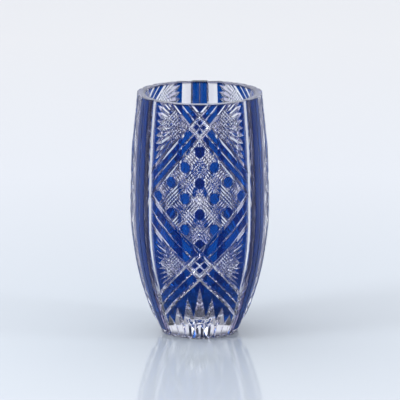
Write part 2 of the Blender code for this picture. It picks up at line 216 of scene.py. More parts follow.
# the same cuts on every panel: the paths of panel 1 with each panel's turn added
def panelCuts(name, turn, climb, depth, wheel, proud, finish=finishSlots["cut"], tilt=0.0):
    count = len(panelTurns)
    everyTurn = (panelTurns[:, None, None] + turn[None]).reshape(-1, turn.shape[-1])
    everyTilt = np.tile(np.broadcast_to(tilt, (len(turn),)), count)[:, None]
    everyClimb, everyDepth = np.tile(climb, (count, 1)), np.tile(depth, (count, 1))
    return wheelCuts(name, everyTurn, everyClimb, everyDepth, wheel, proud, finish, everyTilt)


runOut = 0.98  # share of its proud height to which a cut has risen where it runs out


# straight cuts between (turn, climb) ends, of one half-width in degrees, eased to nothing over a share of each end
def straightCuts(name, starts, ends, half, wheel, proud, stations, ease=(0.0, 0.0), **more):
    share = np.linspace(0, 1, stations)
    starts, ends = np.asarray(starts, float), np.asarray(ends, float)
    turn = starts[:, :1] + (ends[:, :1] - starts[:, :1]) * share
    climb = starts[:, 1:] + (ends[:, 1:] - starts[:, 1:]) * share
    profile = np.ones(stations)
    if ease[0]:
        profile = np.minimum(profile, share / ease[0])
    if ease[1]:
        profile = np.minimum(profile, (1 - share) / ease[1])
    spread = math.tan(math.radians(wheel / 2))
    half = np.broadcast_to(np.asarray(half, float), (len(starts),))[:, None]
    full = np.radians(half) * radiusAt(climb) / spread
    depth = full * profile - (1 - profile) * proud * runOut
    return panelCuts(name, turn, climb, depth, wheel, proud, **more)


print("stage: plan ready")
cutters = []

# deep mitres either side of each pillar, and the hairline down its middle
pillarCut = {"wheel": 118.0, "proud": 0.003, "tilt": 0.58, "hairHalf": 0.62, "hairWheel": 84.0, "hairProud": 0.001,
             "pastFoot": 4.0, "pastRim": 5.0, "stations": 90}
mitreTurn = panelHalf + layout["pillarMitre"] / 2
low, high = footClimb - pillarCut["pastFoot"], rimClimb + pillarCut["pastRim"]
cutters.append(straightCuts(
    "pillarMitres", [(-mitreTurn, low), (mitreTurn, low)], [(-mitreTurn, high), (mitreTurn, high)],
    layout["pillarMitre"] / 2, pillarCut["wheel"], pillarCut["proud"], pillarCut["stations"],
    tilt=(pillarCut["tilt"], -pillarCut["tilt"])))
cutters.append(straightCuts(
    "pillarHairlines", [(panelTurn / 2, low)], [(panelTurn / 2, high)],
    pillarCut["hairHalf"], pillarCut["hairWheel"], pillarCut["hairProud"], pillarCut["stations"]))

# border mitres and middle lines of the crossed bands, one set for each lean, ending in the pillars' mitres
bandCut = {"wheel": 104.0, "proud": 0.0015, "lineHalf": 1.25, "lineWheel": 104.0, "lineProud": 0.0006, "stations": 50}
for lean in (1, -1):
    starts, ends = [], []
    lineStarts, lineEnds = [], []
    for level, cross, bandHalf, slope in crosses:
        for side in (-1, 1):
            shift = side * bandHalf * math.hypot(1.0, slope)
            starts.append((-mitreTurn, cross + shift - lean * slope * mitreTurn))
            ends.append((mitreTurn, cross + shift + lean * slope * mitreTurn))
        lineStarts.append((-mitreTurn, cross - lean * slope * mitreTurn))
        lineEnds.append((mitreTurn, cross + lean * slope * mitreTurn))
    cutters.append(straightCuts(
        "bandMitres", starts, ends, layout["bandMitre"] / 2, bandCut["wheel"], bandCut["proud"], bandCut["stations"]))
    cutters.append(straightCuts(
        "bandLines", lineStarts, lineEnds, bandCut["lineHalf"], bandCut["lineWheel"], bandCut["lineProud"],
        bandCut["stations"]))

# the star where two bands cross: a wider middle line and a frame line either side of it, each way,
# placed and sized as shares of the band
star = {"frameAt": 0.695, "frameHalf": 0.115, "middleHalf": 0.135, "wheel": 104.0, "proud": 0.0008, "stations": 10}
starLines = (
    (-star["frameAt"], star["frameHalf"]), (0.0, star["middleHalf"]), (star["frameAt"], star["frameHalf"]),
)
for lean in (1, -1):
    starts, ends, halves = [], [], []
    for level, cross, bandHalf, slope in crosses:
        across = np.array([-bandHalf, bandHalf])
        for share, half in starLines:
            at = share * bandHalf
            pair = diagonalPoint(cross, at, across, slope) if lean > 0 else diagonalPoint(cross, across, at, slope)
            starts.append((pair[0][0], pair[1][0]))
            ends.append((pair[0][1], pair[1][1]))
            halves.append(half * bandHalf)
    cutters.append(straightCuts("starLines", starts, ends, halves, star["wheel"], star["proud"], star["stations"]))

# hatching: lines along both diagonals in the lanes between the rows of buttons, and in the root of each fan.
# neighbours go into two sets, because their tops overlap
hatch = {"pitch": 2.3, "half": 1.60, "wheel": 104.0, "proud": 0.00022, "laneLines": 4, "fieldMargin": -0.3,
         "fieldStations": 30, "fanLines": {"upper": 8, "lower": 7}, "firstLine": 0.6, "rootRun": 1.2, "tipRun": 2.0,
         "fanStations": 14, "fanEase": (0.0, 0.25)}
fieldSlope = layout["buttonRise"] / layout["buttonTurn"]
pitchClimb = hatch["pitch"] * math.hypot(1.0, fieldSlope)
laneSteps = (np.arange(hatch["laneLines"]) - (hatch["laneLines"] - 1) / 2) * pitchClimb
fieldLines = [lane * 2 * layout["buttonRise"] + step for lane in (-1, 0, 1) for step in laneSteps]
for lean in (1, -1):
    for odd in (0, 1):
        stretches = [fieldStretch(lean * fieldSlope, offset, hatch["fieldMargin"]) for offset in fieldLines[odd::2]]
        starts, ends = [stretch[0] for stretch in stretches], [stretch[1] for stretch in stretches]
        cutters.append(straightCuts(
            "fieldHatch", starts, ends, hatch["half"], hatch["wheel"], hatch["proud"], hatch["fieldStations"],
            finish=finishSlots["hatched"]))
        starts, ends = [], []
        for level, cross, bandHalf, slope in crosses:
            rootAt = bandHalf + layout["bandMitre"] / 2
            lines = hatch["fanLines"][level]
            for right in (-1, 1):
                for step in range(odd, lines, 2):
                    at = right * (rootAt + (step + hatch["firstLine"]) * hatch["pitch"])
                    tipAt = rootAt + lines * hatch["pitch"] + hatch["tipRun"]
                    across = right * np.array([rootAt - hatch["rootRun"], tipAt])
                    if lean > 0:
                        pair = diagonalPoint(cross, -at, across, slope)
                    else:
                        pair = diagonalPoint(cross, -across, at, slope)
                    starts.append((pair[0][0], pair[1][0]))
                    ends.append((pair[0][1], pair[1][1]))
        cutters.append(straightCuts(
            "fanHatch", starts, ends, hatch["half"], hatch["wheel"], hatch["proud"], hatch["fanStations"],
            hatch["fanEase"], finish=finishSlots["hatched"]))

# olive cuts that take the points off each button: lens-shaped, half-width falling off as 1 - s^2 along the cut
olive = {"tall": 4.15, "wide": 3.45, "half": 1.9, "long": 4.6, "wheel": 104.0, "proud": 0.0006, "stations": 13,
         "pastPanel": 2.0, "borderRoom": 1.0}
rows, columns = np.indices((layout["buttonRows"], layout["buttonRows"]))
buttonTurn = ((rows - columns) * layout["buttonTurn"]).ravel()
buttonClimb = (fieldMiddle + (rows + columns - layout["buttonRows"] + 1) * layout["buttonRise"]).ravel()
along = np.linspace(-1, 1, olive["stations"])
for capping in (True, False):
    offset = olive["half"] + (olive["tall"] if capping else olive["wide"])
    turns, climbs = [], []
    for side in (-1, 1):
        if capping:
            turns.append(buttonTurn[:, None] + olive["long"] * along)
            climbs.append(np.repeat(buttonClimb[:, None] + side * offset, olive["stations"], axis=1))
        else:
            turns.append(np.repeat(buttonTurn[:, None] + side * offset, olive["stations"], axis=1))
            climbs.append(buttonClimb[:, None] + olive["long"] * along)
    turn, climb = np.concatenate(turns), np.concatenate(climbs)
    inside = np.abs(turn).max(axis=1) < panelHalf + olive["pastPanel"]
    for up, (level, cross, bandHalf, slope) in zip((1, -1), crosses):
        limit = up * (cross - fieldMiddle) - bandHalf * math.hypot(1.0, slope) - olive["borderRoom"]
        inside &= (np.abs(turn) * slope + up * (climb - fieldMiddle)).mean(axis=1) < limit
    turn, climb = turn[inside], climb[inside]
    lens = 1 - along**2
    full = np.radians(olive["half"]) * radiusAt(climb) / math.tan(math.radians(olive["wheel"] / 2))
    depth = (full + olive["proud"]) * lens - olive["proud"] * runOut
    cutters.append(panelCuts("olives", turn, climb, depth, olive["wheel"], olive["proud"]))

# fans: leaf cuts from each cross's side corner, widening with the gap between them, then drawn out to needles
fan = {"rays": {"upper": 10, "lower": 9}, "wheel": 120.0, "proud": 0.0012, "valley": {"upper": 7.0, "lower": 13.0},
       "tip": 2.0, "hair": 0.45, "rootRun": 1.5, "edgeGap": 0.6, "leastGap": 0.15, "overlap": 0.62, "stations": 36}
fanSpread = math.tan(math.radians(fan["wheel"] / 2))
for ray in range(max(fan["rays"].values())):
    turns, climbs, depths = [], [], []
    for level, cross, bandHalf, slope in crosses:
        if ray >= fan["rays"][level]:
            continue
        fanRoot = (bandHalf + layout["bandMitre"] / 2) * math.hypot(1.0, slope) / slope
        valley = panelHalf - fan["valley"][level]
        out = np.linspace(fanRoot - fan["rootRun"], panelHalf - fan["edgeGap"], fan["stations"])
        steep = slope * ((2 * ray + 1) / fan["rays"][level] - 1)
        reached = np.clip(np.minimum(out, valley) - fanRoot, fan["leastGap"], None)
        gap = slope / fan["rays"][level] * reached / math.hypot(1, steep)
        needle = np.clip((panelHalf - fan["tip"] - out) / (fan["valley"][level] - fan["tip"]), 0, 1)
        half = fan["hair"] + (gap + fan["overlap"] - fan["hair"]) * needle
        climb = cross + steep * (out - fanRoot)
        for right in (-1, 1):
            turns.append(right * out)
            climbs.append(climb)
            depths.append(np.radians(half) * radiusAt(climb) / fanSpread)
    cutters.append(panelCuts(
        "fanRays", np.array(turns), np.array(climbs), np.array(depths), fan["wheel"], fan["proud"]))

# swords: pointed cuts up from the foot, half-width growing evenly below each tip to where neighbours meet
sword = {"count": 7, "tipGap": 2.4, "meet": 39.0, "meetFall": 0.42, "spread": 1.36, "wheel": 100.0, "proud": 0.002,
         "pastFoot": 4.0, "stations": 44}
belowCross = (layout["lowerBand"] + layout["bandMitre"] / 2) * math.hypot(1.0, lowerSlope) + sword["tipGap"]
widest = sword["spread"] * panelHalf / sword["count"]
swordSpread = math.tan(math.radians(sword["wheel"] / 2))
for odd in (0, 1):
    at = (np.arange(sword["count"]) - (sword["count"] - 1) / 2)[odd::2] * 2 * panelHalf / sword["count"]
    tip = lowerCross - belowCross - lowerSlope * np.abs(at)
    share = np.linspace(0, 1, sword["stations"])
    taper = panelHalf / sword["count"] / (tip - footClimb - sword["meet"] + sword["meetFall"] * np.abs(at))
    lead = np.degrees(sword["proud"] * swordSpread / radiusAt(tip)) / taper * runOut
    climb = (tip + lead)[:, None] + (footClimb - sword["pastFoot"] - tip - lead)[:, None] * share
    half = np.minimum(widest, (tip[:, None] - climb) * taper[:, None])
    depth = np.radians(half) * radiusAt(climb) / swordSpread
    depth = np.maximum(depth, -runOut * sword["proud"])
    turn = np.repeat(at[:, None], sword["stations"], axis=1)
    cutters.append(panelCuts("swords", turn, climb, depth, sword["wheel"], sword["proud"]))

# star under the foot: V-cuts out from the middle, deepening with radius
footStar = {"rays": 48, "wheel": 124.0, "land": 0.12, "inner": 0.006, "outer": 0.050, "below": 0.0006}
footSpread = math.tan(math.radians(footStar["wheel"] / 2))
for odd in (0, 1):
    angle = (np.arange(odd, footStar["rays"], 2) + 0.5) * 2 * math.pi / footStar["rays"]
    radius = np.array([footStar["inner"], footStar["outer"]])
    half = radius * math.tan(math.pi / footStar["rays"]) * (1 - footStar["land"])
    top = half / footSpread
    wide = half + footStar["below"] * footSpread
    out = np.stack([np.cos(angle), np.sin(angle)], axis=-1)
    side = np.stack([-np.sin(angle), np.cos(angle)], axis=-1)
    flat = radius[None, :, None] * out[:, None]
    sideways = wide[None, :, None] * side[:, None]
    edgeZ = np.broadcast_to(top[None, :, None], flat.shape[:2] + (1,))
    openZ = np.full(flat.shape[:2] + (1,), -footStar["below"])
    rings = np.stack([
        np.concatenate([flat, edgeZ], axis=-1),
        np.concatenate([flat + sideways, openZ], axis=-1),
        np.concatenate([flat - sideways, openZ], axis=-1),
    ], axis=2)
    cutters.append(barMesh("footStar", rings, finishSlots["cut"]))
print("stage: cutters", len(cutters))


# solid turned round the axis: every profile point becomes a ring; the ends are poles, or the profile closes on itself
def turnedSolid(name, profile, bandSlots, segments, looped):
    profile = np.asarray(profile, float)
    ringed = profile if looped else profile[1:-1]
    angle = np.arange(segments) * 2 * math.pi / segments
    rings = np.stack([
        ringed[:, :1] * np.sin(angle), -ringed[:, :1] * np.cos(angle), np.repeat(ringed[:, 1:], segments, axis=1)
    ], axis=-1)
    index = np.arange(len(ringed) * segments).reshape(len(ringed), segments)
    if looped:
        lower, upper = index, np.roll(index, -1, axis=0)
        slots = np.repeat(bandSlots, segments)
    else:
        lower, upper = index[:-1], index[1:]
        slots = np.repeat(bandSlots[1:-1], segments)
    quads = np.stack([lower, np.roll(lower, -1, axis=1), np.roll(upper, -1, axis=1), upper], axis=-1).reshape(-1, 4)
    points = rings.reshape(-1, 3)
    fans = np.zeros((0, 3), int)
    if not looped:
        first, last = len(points), len(points) + 1
        points = np.concatenate([points, [[0, 0, profile[0, 1]], [0, 0, profile[-1, 1]]]])
        startFan = np.stack([np.full(segments, first), np.roll(index[0], -1), index[0]], axis=-1)
        endFan = np.stack([np.full(segments, last), index[-1], np.roll(index[-1], -1)], axis=-1)
        fans = np.concatenate([startFan, endFan])
        slots = np.concatenate([slots, np.full(segments, bandSlots[0]), np.full(segments, bandSlots[-1])])
    triangles = np.concatenate([quads[:, :3], quads[:, [0, 2, 3]], fans])
    if signedVolume(points, triangles) < 0:
        quads, fans = quads[:, ::-1], fans[:, ::-1]
    made = putMesh(name, points, quads.tolist() + fans.tolist())
    made.data.polygons.foreach_set("material_index", slots.astype(np.int32))
    return made


# takes every cutter out of a blank, one after another, each time keeping the result as the blank's mesh
def cutAway(blank, wheels):
    for wheel in wheels:
        step = blank.modifiers.new("wheelCut", "BOOLEAN")
        step.operation = "DIFFERENCE"
        step.solver = "MANIFOLD"
        step.object = wheel
        graph = bpy.context.evaluated_depsgraph_get()
        settled = bpy.data.meshes.new_from_object(blank.evaluated_get(graph))
        blank.modifiers.clear()
        before = blank.data
        blank.data = settled
        bpy.data.meshes.remove(before)


def crispEdges(mesh, degrees):
    mesh.polygons.foreach_set("use_smooth", np.ones(len(mesh.polygons), bool))
    mesh.set_sharp_from_angle(angle=math.radians(degrees))


# clear body: hollow, lip, outer wall under the casing, foot
body = {
    "segments": 150, "bowlRings": 26, "neckRings": 16, "lipRings": 6, "wallRings": 60, "footRings": 8, "crisp": 16.0,
}
height, lip = barrel["height"], barrel["lipRound"]
share = np.sin(np.linspace(0, math.pi / 2, body["bowlRings"]))
sunk = (1 - share**2) ** (1 / barrel["hollowSquareness"])
bowlZ = barrel["bellyHeight"] - sunk * (barrel["bellyHeight"] - barrel["baseThickness"])
neckZ = np.linspace(barrel["bellyHeight"], height - lip, body["neckRings"])[1:]
innerZ = np.concatenate([bowlZ, neckZ])
inner = np.stack([hollowRadius(innerZ), innerZ], axis=-1)
inner[0] = (0.0, barrel["baseThickness"])
lipAngle = np.linspace(0, math.pi / 2, body["lipRings"])[1:]
mouth = float(hollowRadius(np.array(height)))
lipPoints = np.stack([mouth + lip * (1 - np.cos(lipAngle)), height - lip * (1 - np.sin(lipAngle))], axis=-1)
inset = barrel["casing"] + barrel["bond"]
wallZ = np.linspace(height, barrel["casingFoot"], body["wallRings"])
wall = np.stack([wallRadius(wallZ) - inset, wallZ], axis=-1)
contact = barrel["bellyRadius"] - barrel["footLean"] - barrel["footChamfer"]
shoulder = float(wallRadius(np.array(barrel["footRound"])))
footAngle = np.linspace(math.pi / 2, 0, body["footRings"])
foot = np.stack([
    contact + (shoulder - contact) * np.sin(footAngle), barrel["footRound"] * (1 - np.cos(footAngle))
], axis=-1)
profile = np.concatenate([inner, lipPoints, wall, foot, [[0.0, 0.0]]])
bandSlots = np.zeros(len(profile) - 1, int)
wallStart = len(inner) + len(lipPoints)
bandSlots[wallStart:wallStart + len(wall) - 1] = finishSlots["bond"]
crystalBody = turnedSolid("crystalBody", profile, bandSlots, body["segments"], False)
cutAway(crystalBody, cutters)
print("stage: crystal body", len(crystalBody.data.polygons), "faces")

# casing: a thin shell on the wall, cut by the same wheels; what they leave falls apart into islands
shell = {"segments": 240, "rings": 92, "crisp": 16.0, "leastVolume": 2.0e-10}
shellZ = np.linspace(height, barrel["casingFoot"], shell["rings"])
outside = np.stack([wallRadius(shellZ), shellZ], axis=-1)
inside = np.stack([wallRadius(shellZ) - barrel["casing"], shellZ], axis=-1)[::-1]
profile = np.concatenate([outside, inside])
bandSlots = np.zeros(len(profile), int)
bandSlots[len(outside):-1] = finishSlots["bond"]
casingShell = turnedSolid("casingShell", profile, bandSlots, shell["segments"], True)
cutAway(casingShell, [cutter for cutter in cutters if not cutter.name.startswith("footStar")])
print("stage: casing cut", len(casingShell.data.polygons), "faces")

shellMesh = casingShell.data
shellMesh.calc_loop_triangles()
points = np.empty(len(shellMesh.vertices) * 3)
shellMesh.vertices.foreach_get("co", points)
points = points.reshape(-1, 3)
triangles = np.empty(len(shellMesh.loop_triangles) * 3, np.int32)
shellMesh.loop_triangles.foreach_get("vertices", triangles)
triangles = triangles.reshape(-1, 3)
triangleSlots = np.empty(len(triangles), np.int32)
shellMesh.loop_triangles.foreach_get("material_index", triangleSlots)
triangleSlots[triangleSlots > finishSlots["bond"]] = finishSlots["polished"]

# every point takes the lowest label among its triangles until nothing changes, which numbers the islands
label = np.arange(len(points))
while True:
    before = label.copy()
    np.minimum.at(label, triangles.ravel(), np.repeat(label[triangles].min(axis=1), 3))
    label = label[label]
    if np.array_equal(before, label):
        break
islandOf = label[triangles[:, 0]]
islands, islandIndex = np.unique(islandOf, return_inverse=True)
corners = points[triangles]
pieces = np.einsum("ij,ij->i", corners[:, 0], np.cross(corners[:, 1], corners[:, 2])) / 6
volumes = np.bincount(islandIndex, pieces)
areas = np.linalg.norm(np.cross(corners[:, 1] - corners[:, 0], corners[:, 2] - corners[:, 0]), axis=1)
middles = np.stack([np.bincount(islandIndex, areas * corners[:, :, axis].mean(axis=1)) for axis in range(3)], axis=-1)
middles /= np.bincount(islandIndex, areas)[:, None]
middleTurn = np.degrees(np.arctan2(middles[:, 0], -middles[:, 1]))
middleClimb = climbOf(middles[:, 2])


# name of the CAD node that an island belongs to, from where its middle lies on the plan
def nodeOf(turn, climb):
    panel = int(round(turn / panelTurn)) % layout["panels"] + 1
    local = turn - round(turn / panelTurn) * panelTurn
    if abs(local) > panelHalf + layout["pillarMitre"] / 2:
        pillar = int(math.floor(turn / panelTurn)) % layout["panels"] + 1
        offset = turn - (math.floor(turn / panelTurn) + 0.5) * panelTurn
        return f"pillar{pillar}_stripe_" + ("left" if offset < 0 else "right")
    for level, cross, across, slope in crosses:
        p = (climb - cross - slope * local) / math.hypot(1.0, slope)
        q = (climb - cross + slope * local) / math.hypot(1.0, slope)
        if abs(p) < across and abs(q) < across:
            return f"panel{panel}_{level}_star"
        if abs(p) < across:
            return f"panel{panel}_{level}_cross_" + ("top_right" if q > 0 else "bottom_left") + "_band"
        if abs(q) < across:
            return f"panel{panel}_{level}_cross_" + ("top_left" if p > 0 else "bottom_right") + "_band"
        if level == "upper" and p > 0 and q > 0:
            return f"panel{panel}_rim_point"
        if level == "lower" and p < 0 and q < 0:
            return f"panel{panel}_base_crown"
        if p * q < 0 and (climb > fieldMiddle) == (level == "upper"):
            return f"panel{panel}_{level}_fan_ground_" + ("right" if q > 0 else "left")
    return f"panel{panel}_buttons"


groups = {}
for number in np.flatnonzero(volumes > shell["leastVolume"]):
    groups.setdefault(nodeOf(middleTurn[number], middleClimb[number]), []).append(number)
kept = sum(len(group) for group in groups.values())
print("stage: islands", len(islands), "kept", kept, "in", len(groups), "pieces")
for cutter in cutters:
    dropHelper(cutter)
dropHelper(casingShell)

crispEdges(crystalBody.data, body["crisp"])
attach(crystalBody, "root")
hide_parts("crystal_body")

casingPieces = []
for name in sorted(groups):
    chosen = np.isin(islandIndex, groups[name])
    used, renumbered = np.unique(triangles[chosen].ravel(), return_inverse=True)
    words = name.split("_")
    piece = putMesh(words[0] + "".join(word.capitalize() for word in words[1:]), points[used],
                    renumbered.reshape(-1, 3).tolist())
    piece.data.polygons.foreach_set("material_index", triangleSlots[chosen])
    crispEdges(piece.data, shell["crisp"])
    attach(piece, "root")
    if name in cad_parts:
        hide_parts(name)
    casingPieces.append(piece)
print("stage: casing pieces", len(casingPieces))


# shader group with its input sockets as (name, kind, default) and its outputs as (name, kind)
def newGroup(name, inputs, outputs):
    group = bpy.data.node_groups.new(name, "ShaderNodeTree")
    for socket, kind, default in inputs:
        made = group.interface.new_socket(socket, in_out="INPUT", socket_type="NodeSocket" + kind)
        if default is not None:
            made.default_value = default
    for socket, kind in outputs:
        group.interface.new_socket(socket, in_out="OUTPUT", socket_type="NodeSocket" + kind)
    return group, group.nodes, group.links, group.nodes.new("NodeGroupInput"), group.nodes.new("NodeGroupOutput")


# polish: slow ripples of the blown wall and fine wheel marks, as a height and a small spread of roughness
polish = {"detail": 2.0, "markShare": 0.06, "strength": 0.12, "distance": 0.0004}


def polishGroup():
    group, nodes, links, given, put = newGroup("wheelPolish", (
        ("Ripple Scale", "Float", 60.0), ("Mark Scale", "Float", 900.0), ("Base Roughness", "Float", 0.01),
        ("Spread", "Float", 0.02),
    ), (("Height", "Float"), ("Roughness", "Float")))
    place = nodes.new("ShaderNodeTexCoord")
    ripple, mark = nodes.new("ShaderNodeTexNoise"), nodes.new("ShaderNodeTexNoise")
    for texture, socket in ((ripple, "Ripple Scale"), (mark, "Mark Scale")):
        links.new(place.outputs["Object"], texture.inputs["Vector"])
        links.new(given.outputs[socket], texture.inputs["Scale"])
        texture.inputs["Detail"].default_value = polish["detail"]
    total = nodes.new("ShaderNodeMath")
    total.operation = "MULTIPLY_ADD"
    total.inputs[1].default_value = polish["markShare"]
    links.new(mark.outputs["Fac"], total.inputs[0])
    links.new(ripple.outputs["Fac"], total.inputs[2])
    links.new(total.outputs[0], put.inputs["Height"])
    rough = nodes.new("ShaderNodeMath")
    rough.operation = "MULTIPLY_ADD"
    links.new(mark.outputs["Fac"], rough.inputs[0])
    links.new(given.outputs["Spread"], rough.inputs[1])
    links.new(given.outputs["Base Roughness"], rough.inputs[2])
    links.new(rough.outputs[0], put.inputs["Roughness"])
    return group


wheelPolish = polishGroup()

# casing density: deeper and lighter streaks drawn up the wall by blowing
streaks = {"stretch": (45.0, 45.0, 9.0), "scale": 1.0, "detail": 3.0}


def densityGroup():
    group, nodes, links, given, put = newGroup(
        "casingDensity", (("Light Tint", "Color", None), ("Deep Tint", "Color", None)), (("Color", "Color"),))
    place, stretch = nodes.new("ShaderNodeTexCoord"), nodes.new("ShaderNodeMapping")
    stretch.inputs["Scale"].default_value = streaks["stretch"]
    links.new(place.outputs["Object"], stretch.inputs["Vector"])
    streak = nodes.new("ShaderNodeTexNoise")
    streak.inputs["Scale"].default_value = streaks["scale"]
    streak.inputs["Detail"].default_value = streaks["detail"]
    links.new(stretch.outputs[0], streak.inputs["Vector"])
    mix = nodes.new("ShaderNodeMix")
    mix.data_type = "RGBA"
    links.new(streak.outputs["Fac"], mix.inputs["Factor"])
    links.new(given.outputs["Light Tint"], mix.inputs["A"])
    links.new(given.outputs["Deep Tint"], mix.inputs["B"])
    links.new(mix.outputs["Result"], put.inputs["Color"])
    return group


casingDensity = densityGroup()

# painted facet light and shade: a cut facet's colour is painted light or shade by the way it leans from the wall,
# pale where it leans up and away from the middle of its panel and deep where it leans down and towards it,
# with a random painted sparkle for each small cell.
# the uncut wall keeps the clear tint. pairs are where an effect starts and where it is full;
# those of low, foot and footEdge are heights from the belly, those of lip depths below the rim, and the edges radii
paintedShadeLook = {
    "lean": (0.10, 0.30), "facing": (0.10, 0.30), "sideShare": 0.95, "riseShare": 0.3, "insideShift": -0.32,
    "low": (0.02, -0.08), "lowShift": 0.20, "foot": (-0.088, -0.112), "footShift": 0.40,
    "lip": (0.0030, 0.0006), "lipOuterEdge": (0.0644, 0.0658), "lipInnerEdge": (0.0602, 0.0588), "lipGrey": 0.34,
    "lipEdgeGrey": 0.62, "footEdge": (-0.1315, -0.1352), "footEdgeGrey": 0.85,
}


def paintedShadeGroup():
    group, nodes, links, given, put = newGroup("facetTone", (
        ("Facet", "Vector", None), ("Middle", "Float", 0.55), ("Swing", "Float", 0.75), ("Sparkle", "Float", 0.0),
        ("Cell Scale", "Float", 600.0), ("Clear Tint", "Color", None), ("Deep Tint", "Color", None),
        ("Mid Tint", "Color", None), ("Pale Tint", "Color", None),
    ), (("Color", "Color"),))

    def feed(node, values):
        for socket, value in values.items():
            if isinstance(value, (int, float, tuple)):
                node.inputs[socket].default_value = value
            else:
                links.new(value, node.inputs[socket])
        return node

    def number(operation, first, second=0.0, third=0.0):
        node = nodes.new("ShaderNodeMath")
        node.operation = operation
        return feed(node, {0: first, 1: second, 2: third}).outputs[0]

    def vector(operation, first, second=(0.0, 0.0, 0.0), output="Vector"):
        node = nodes.new("ShaderNodeVectorMath")
        node.operation = operation
        return feed(node, {0: first, 1: second}).outputs[output]

    def smooth(value, start, full):
        node = nodes.new("ShaderNodeMapRange")
        node.interpolation_type = "SMOOTHSTEP"
        return feed(node, {"Value": value, "From Min": start, "From Max": full}).outputs[0]

    def blend(factor, first, second):
        node = nodes.new("ShaderNodeMix")
        node.data_type = "RGBA"
        return feed(node, {"Factor": factor, "A": first, "B": second}).outputs["Result"]

    place = nodes.new("ShaderNodeTexCoord").outputs["Object"]
    outward = vector("NORMALIZE", vector("MULTIPLY", place, (1.0, 1.0, 0.0)))
    # seen from inside the glass the facet is turned round, so that it keeps its lean
    facing = vector("DOT_PRODUCT", given.outputs["Facet"], outward, "Value")
    facet = vector("MULTIPLY", given.outputs["Facet"], number("SIGN", facing))
    within = number("LESS_THAN", facing, 0.0)
    facing = number("ABSOLUTE", facing)
    side = vector("DOT_PRODUCT", facet, vector("CROSS_PRODUCT", (0.0, 0.0, 1.0), outward), "Value")
    # the wall's own lean is its height from the belly over the radius of the arc it lies on
    fromBelly = number("SUBTRACT", vector("DOT_PRODUCT", place, (0.0, 0.0, 1.0), "Value"), barrel["bellyHeight"])
    footArc = (barrel["bellyHeight"] ** 2 + barrel["footLean"] ** 2) / (2 * barrel["footLean"])
    rimReach = barrel["height"] - barrel["bellyHeight"]
    rimArc = (rimReach**2 + barrel["rimLean"] ** 2) / (2 * barrel["rimLean"])
    below = number("MINIMUM", number("DIVIDE", fromBelly, footArc), 0.0)
    above = number("MAXIMUM", number("DIVIDE", fromBelly, rimArc), 0.0)
    rise = number("SUBTRACT", vector("DOT_PRODUCT", facet, (0.0, 0.0, 1.0), "Value"), number("ADD", below, above))
    lean = number("SQRT", number("ADD", number("MULTIPLY", side, side), number("MULTIPLY", rise, rise)))
    cut = number("MULTIPLY", smooth(lean, *paintedShadeLook["lean"]), smooth(facing, *paintedShadeLook["facing"]))
    cells = nodes.new("ShaderNodeTexVoronoi")
    feed(cells, {"Vector": place, "Scale": given.outputs["Cell Scale"]})
    chance = number("SUBTRACT", vector("DOT_PRODUCT", cells.outputs["Color"], (1.0, 0.0, 0.0), "Value"), 0.5)
    # left and right of a panel's middle the painted light and shade mirror each other: sign of sin(panels * turn)
    apart = nodes.new("ShaderNodeSeparateXYZ")
    feed(apart, {0: place})
    turn = number("ARCTAN2", apart.outputs["X"], number("MULTIPLY", apart.outputs["Y"], -1.0))
    half = number("SIGN", number("SINE", number("MULTIPLY", turn, float(layout["panels"]))))
    upward = number("MULTIPLY", rise, paintedShadeLook["riseShare"])
    toLight = number("MULTIPLY_ADD", number("MULTIPLY", side, half), paintedShadeLook["sideShare"], upward)
    tone = number("MULTIPLY_ADD", toLight, given.outputs["Swing"], given.outputs["Middle"])
    # painted shade: a facet seen from inside the glass is painted darker
    tone = number("MULTIPLY_ADD", within, paintedShadeLook["insideShift"], tone)
    tone = number("MULTIPLY_ADD", chance, given.outputs["Sparkle"], tone)
    # painted light: cut facets below the belly, and more so near the foot, are painted paler
    tone = number("MULTIPLY_ADD", smooth(fromBelly, *paintedShadeLook["low"]), paintedShadeLook["lowShift"], tone)
    tone = number("MULTIPLY_ADD", smooth(fromBelly, *paintedShadeLook["foot"]), paintedShadeLook["footShift"], tone)
    # tone 0 is painted deep shade, 0.5 mid and 1 painted pale light
    lower = blend(smooth(tone, 0.0, 0.5), given.outputs["Deep Tint"], given.outputs["Mid Tint"])
    tint = blend(smooth(tone, 0.5, 1.0), lower, given.outputs["Pale Tint"])
    # painted shade on the lip and the edge of the foot, standing in for the light they bend away: greyer on top, dark
    # along their edges
    reach = vector("LENGTH", vector("MULTIPLY", place, (1.0, 1.0, 0.0)), output="Value")
    lip = smooth(fromBelly, *(rimReach - depth for depth in paintedShadeLook["lip"]))
    edges = number("MAXIMUM", smooth(reach, *paintedShadeLook["lipOuterEdge"]), smooth(reach, *paintedShadeLook["lipInnerEdge"]))
    lipGrey = number("MULTIPLY_ADD", edges, paintedShadeLook["lipEdgeGrey"], paintedShadeLook["lipGrey"])
    lipPaintedTint = blend(lipGrey, given.outputs["Mid Tint"], given.outputs["Deep Tint"])
    plain = blend(lip, given.outputs["Clear Tint"], lipPaintedTint)
    whole = blend(cut, plain, tint)
    # painted shade: the edge of the foot is painted dark
    footEdge = number("MULTIPLY", smooth(fromBelly, *paintedShadeLook["footEdge"]), paintedShadeLook["footEdgeGrey"])
    whole = blend(footEdge, whole, given.outputs["Deep Tint"])
    links.new(whole, put.inputs["Color"])
    return group


facetTone = paintedShadeGroup()


def newMaterial(name):
    material = bpy.data.materials.new(name)
    material.use_nodes = True
    return material, material.node_tree.nodes, material.node_tree.links, material.node_tree.nodes["Principled BSDF"]


def polishInto(nodes, links, shader, values):
    marks = nodes.new("ShaderNodeGroup")
    marks.node_tree = wheelPolish
    for socket, value in values.items():
        marks.inputs[socket].default_value = value
    links.new(marks.outputs["Roughness"], shader.inputs["Roughness"])
    bump = nodes.new("ShaderNodeBump")
    bump.inputs["Strength"].default_value = polish["strength"]
    bump.inputs["Distance"].default_value = polish["distance"]
    links.new(marks.outputs["Height"], bump.inputs["Height"])
    links.new(bump.outputs["Normal"], shader.inputs["Normal"])
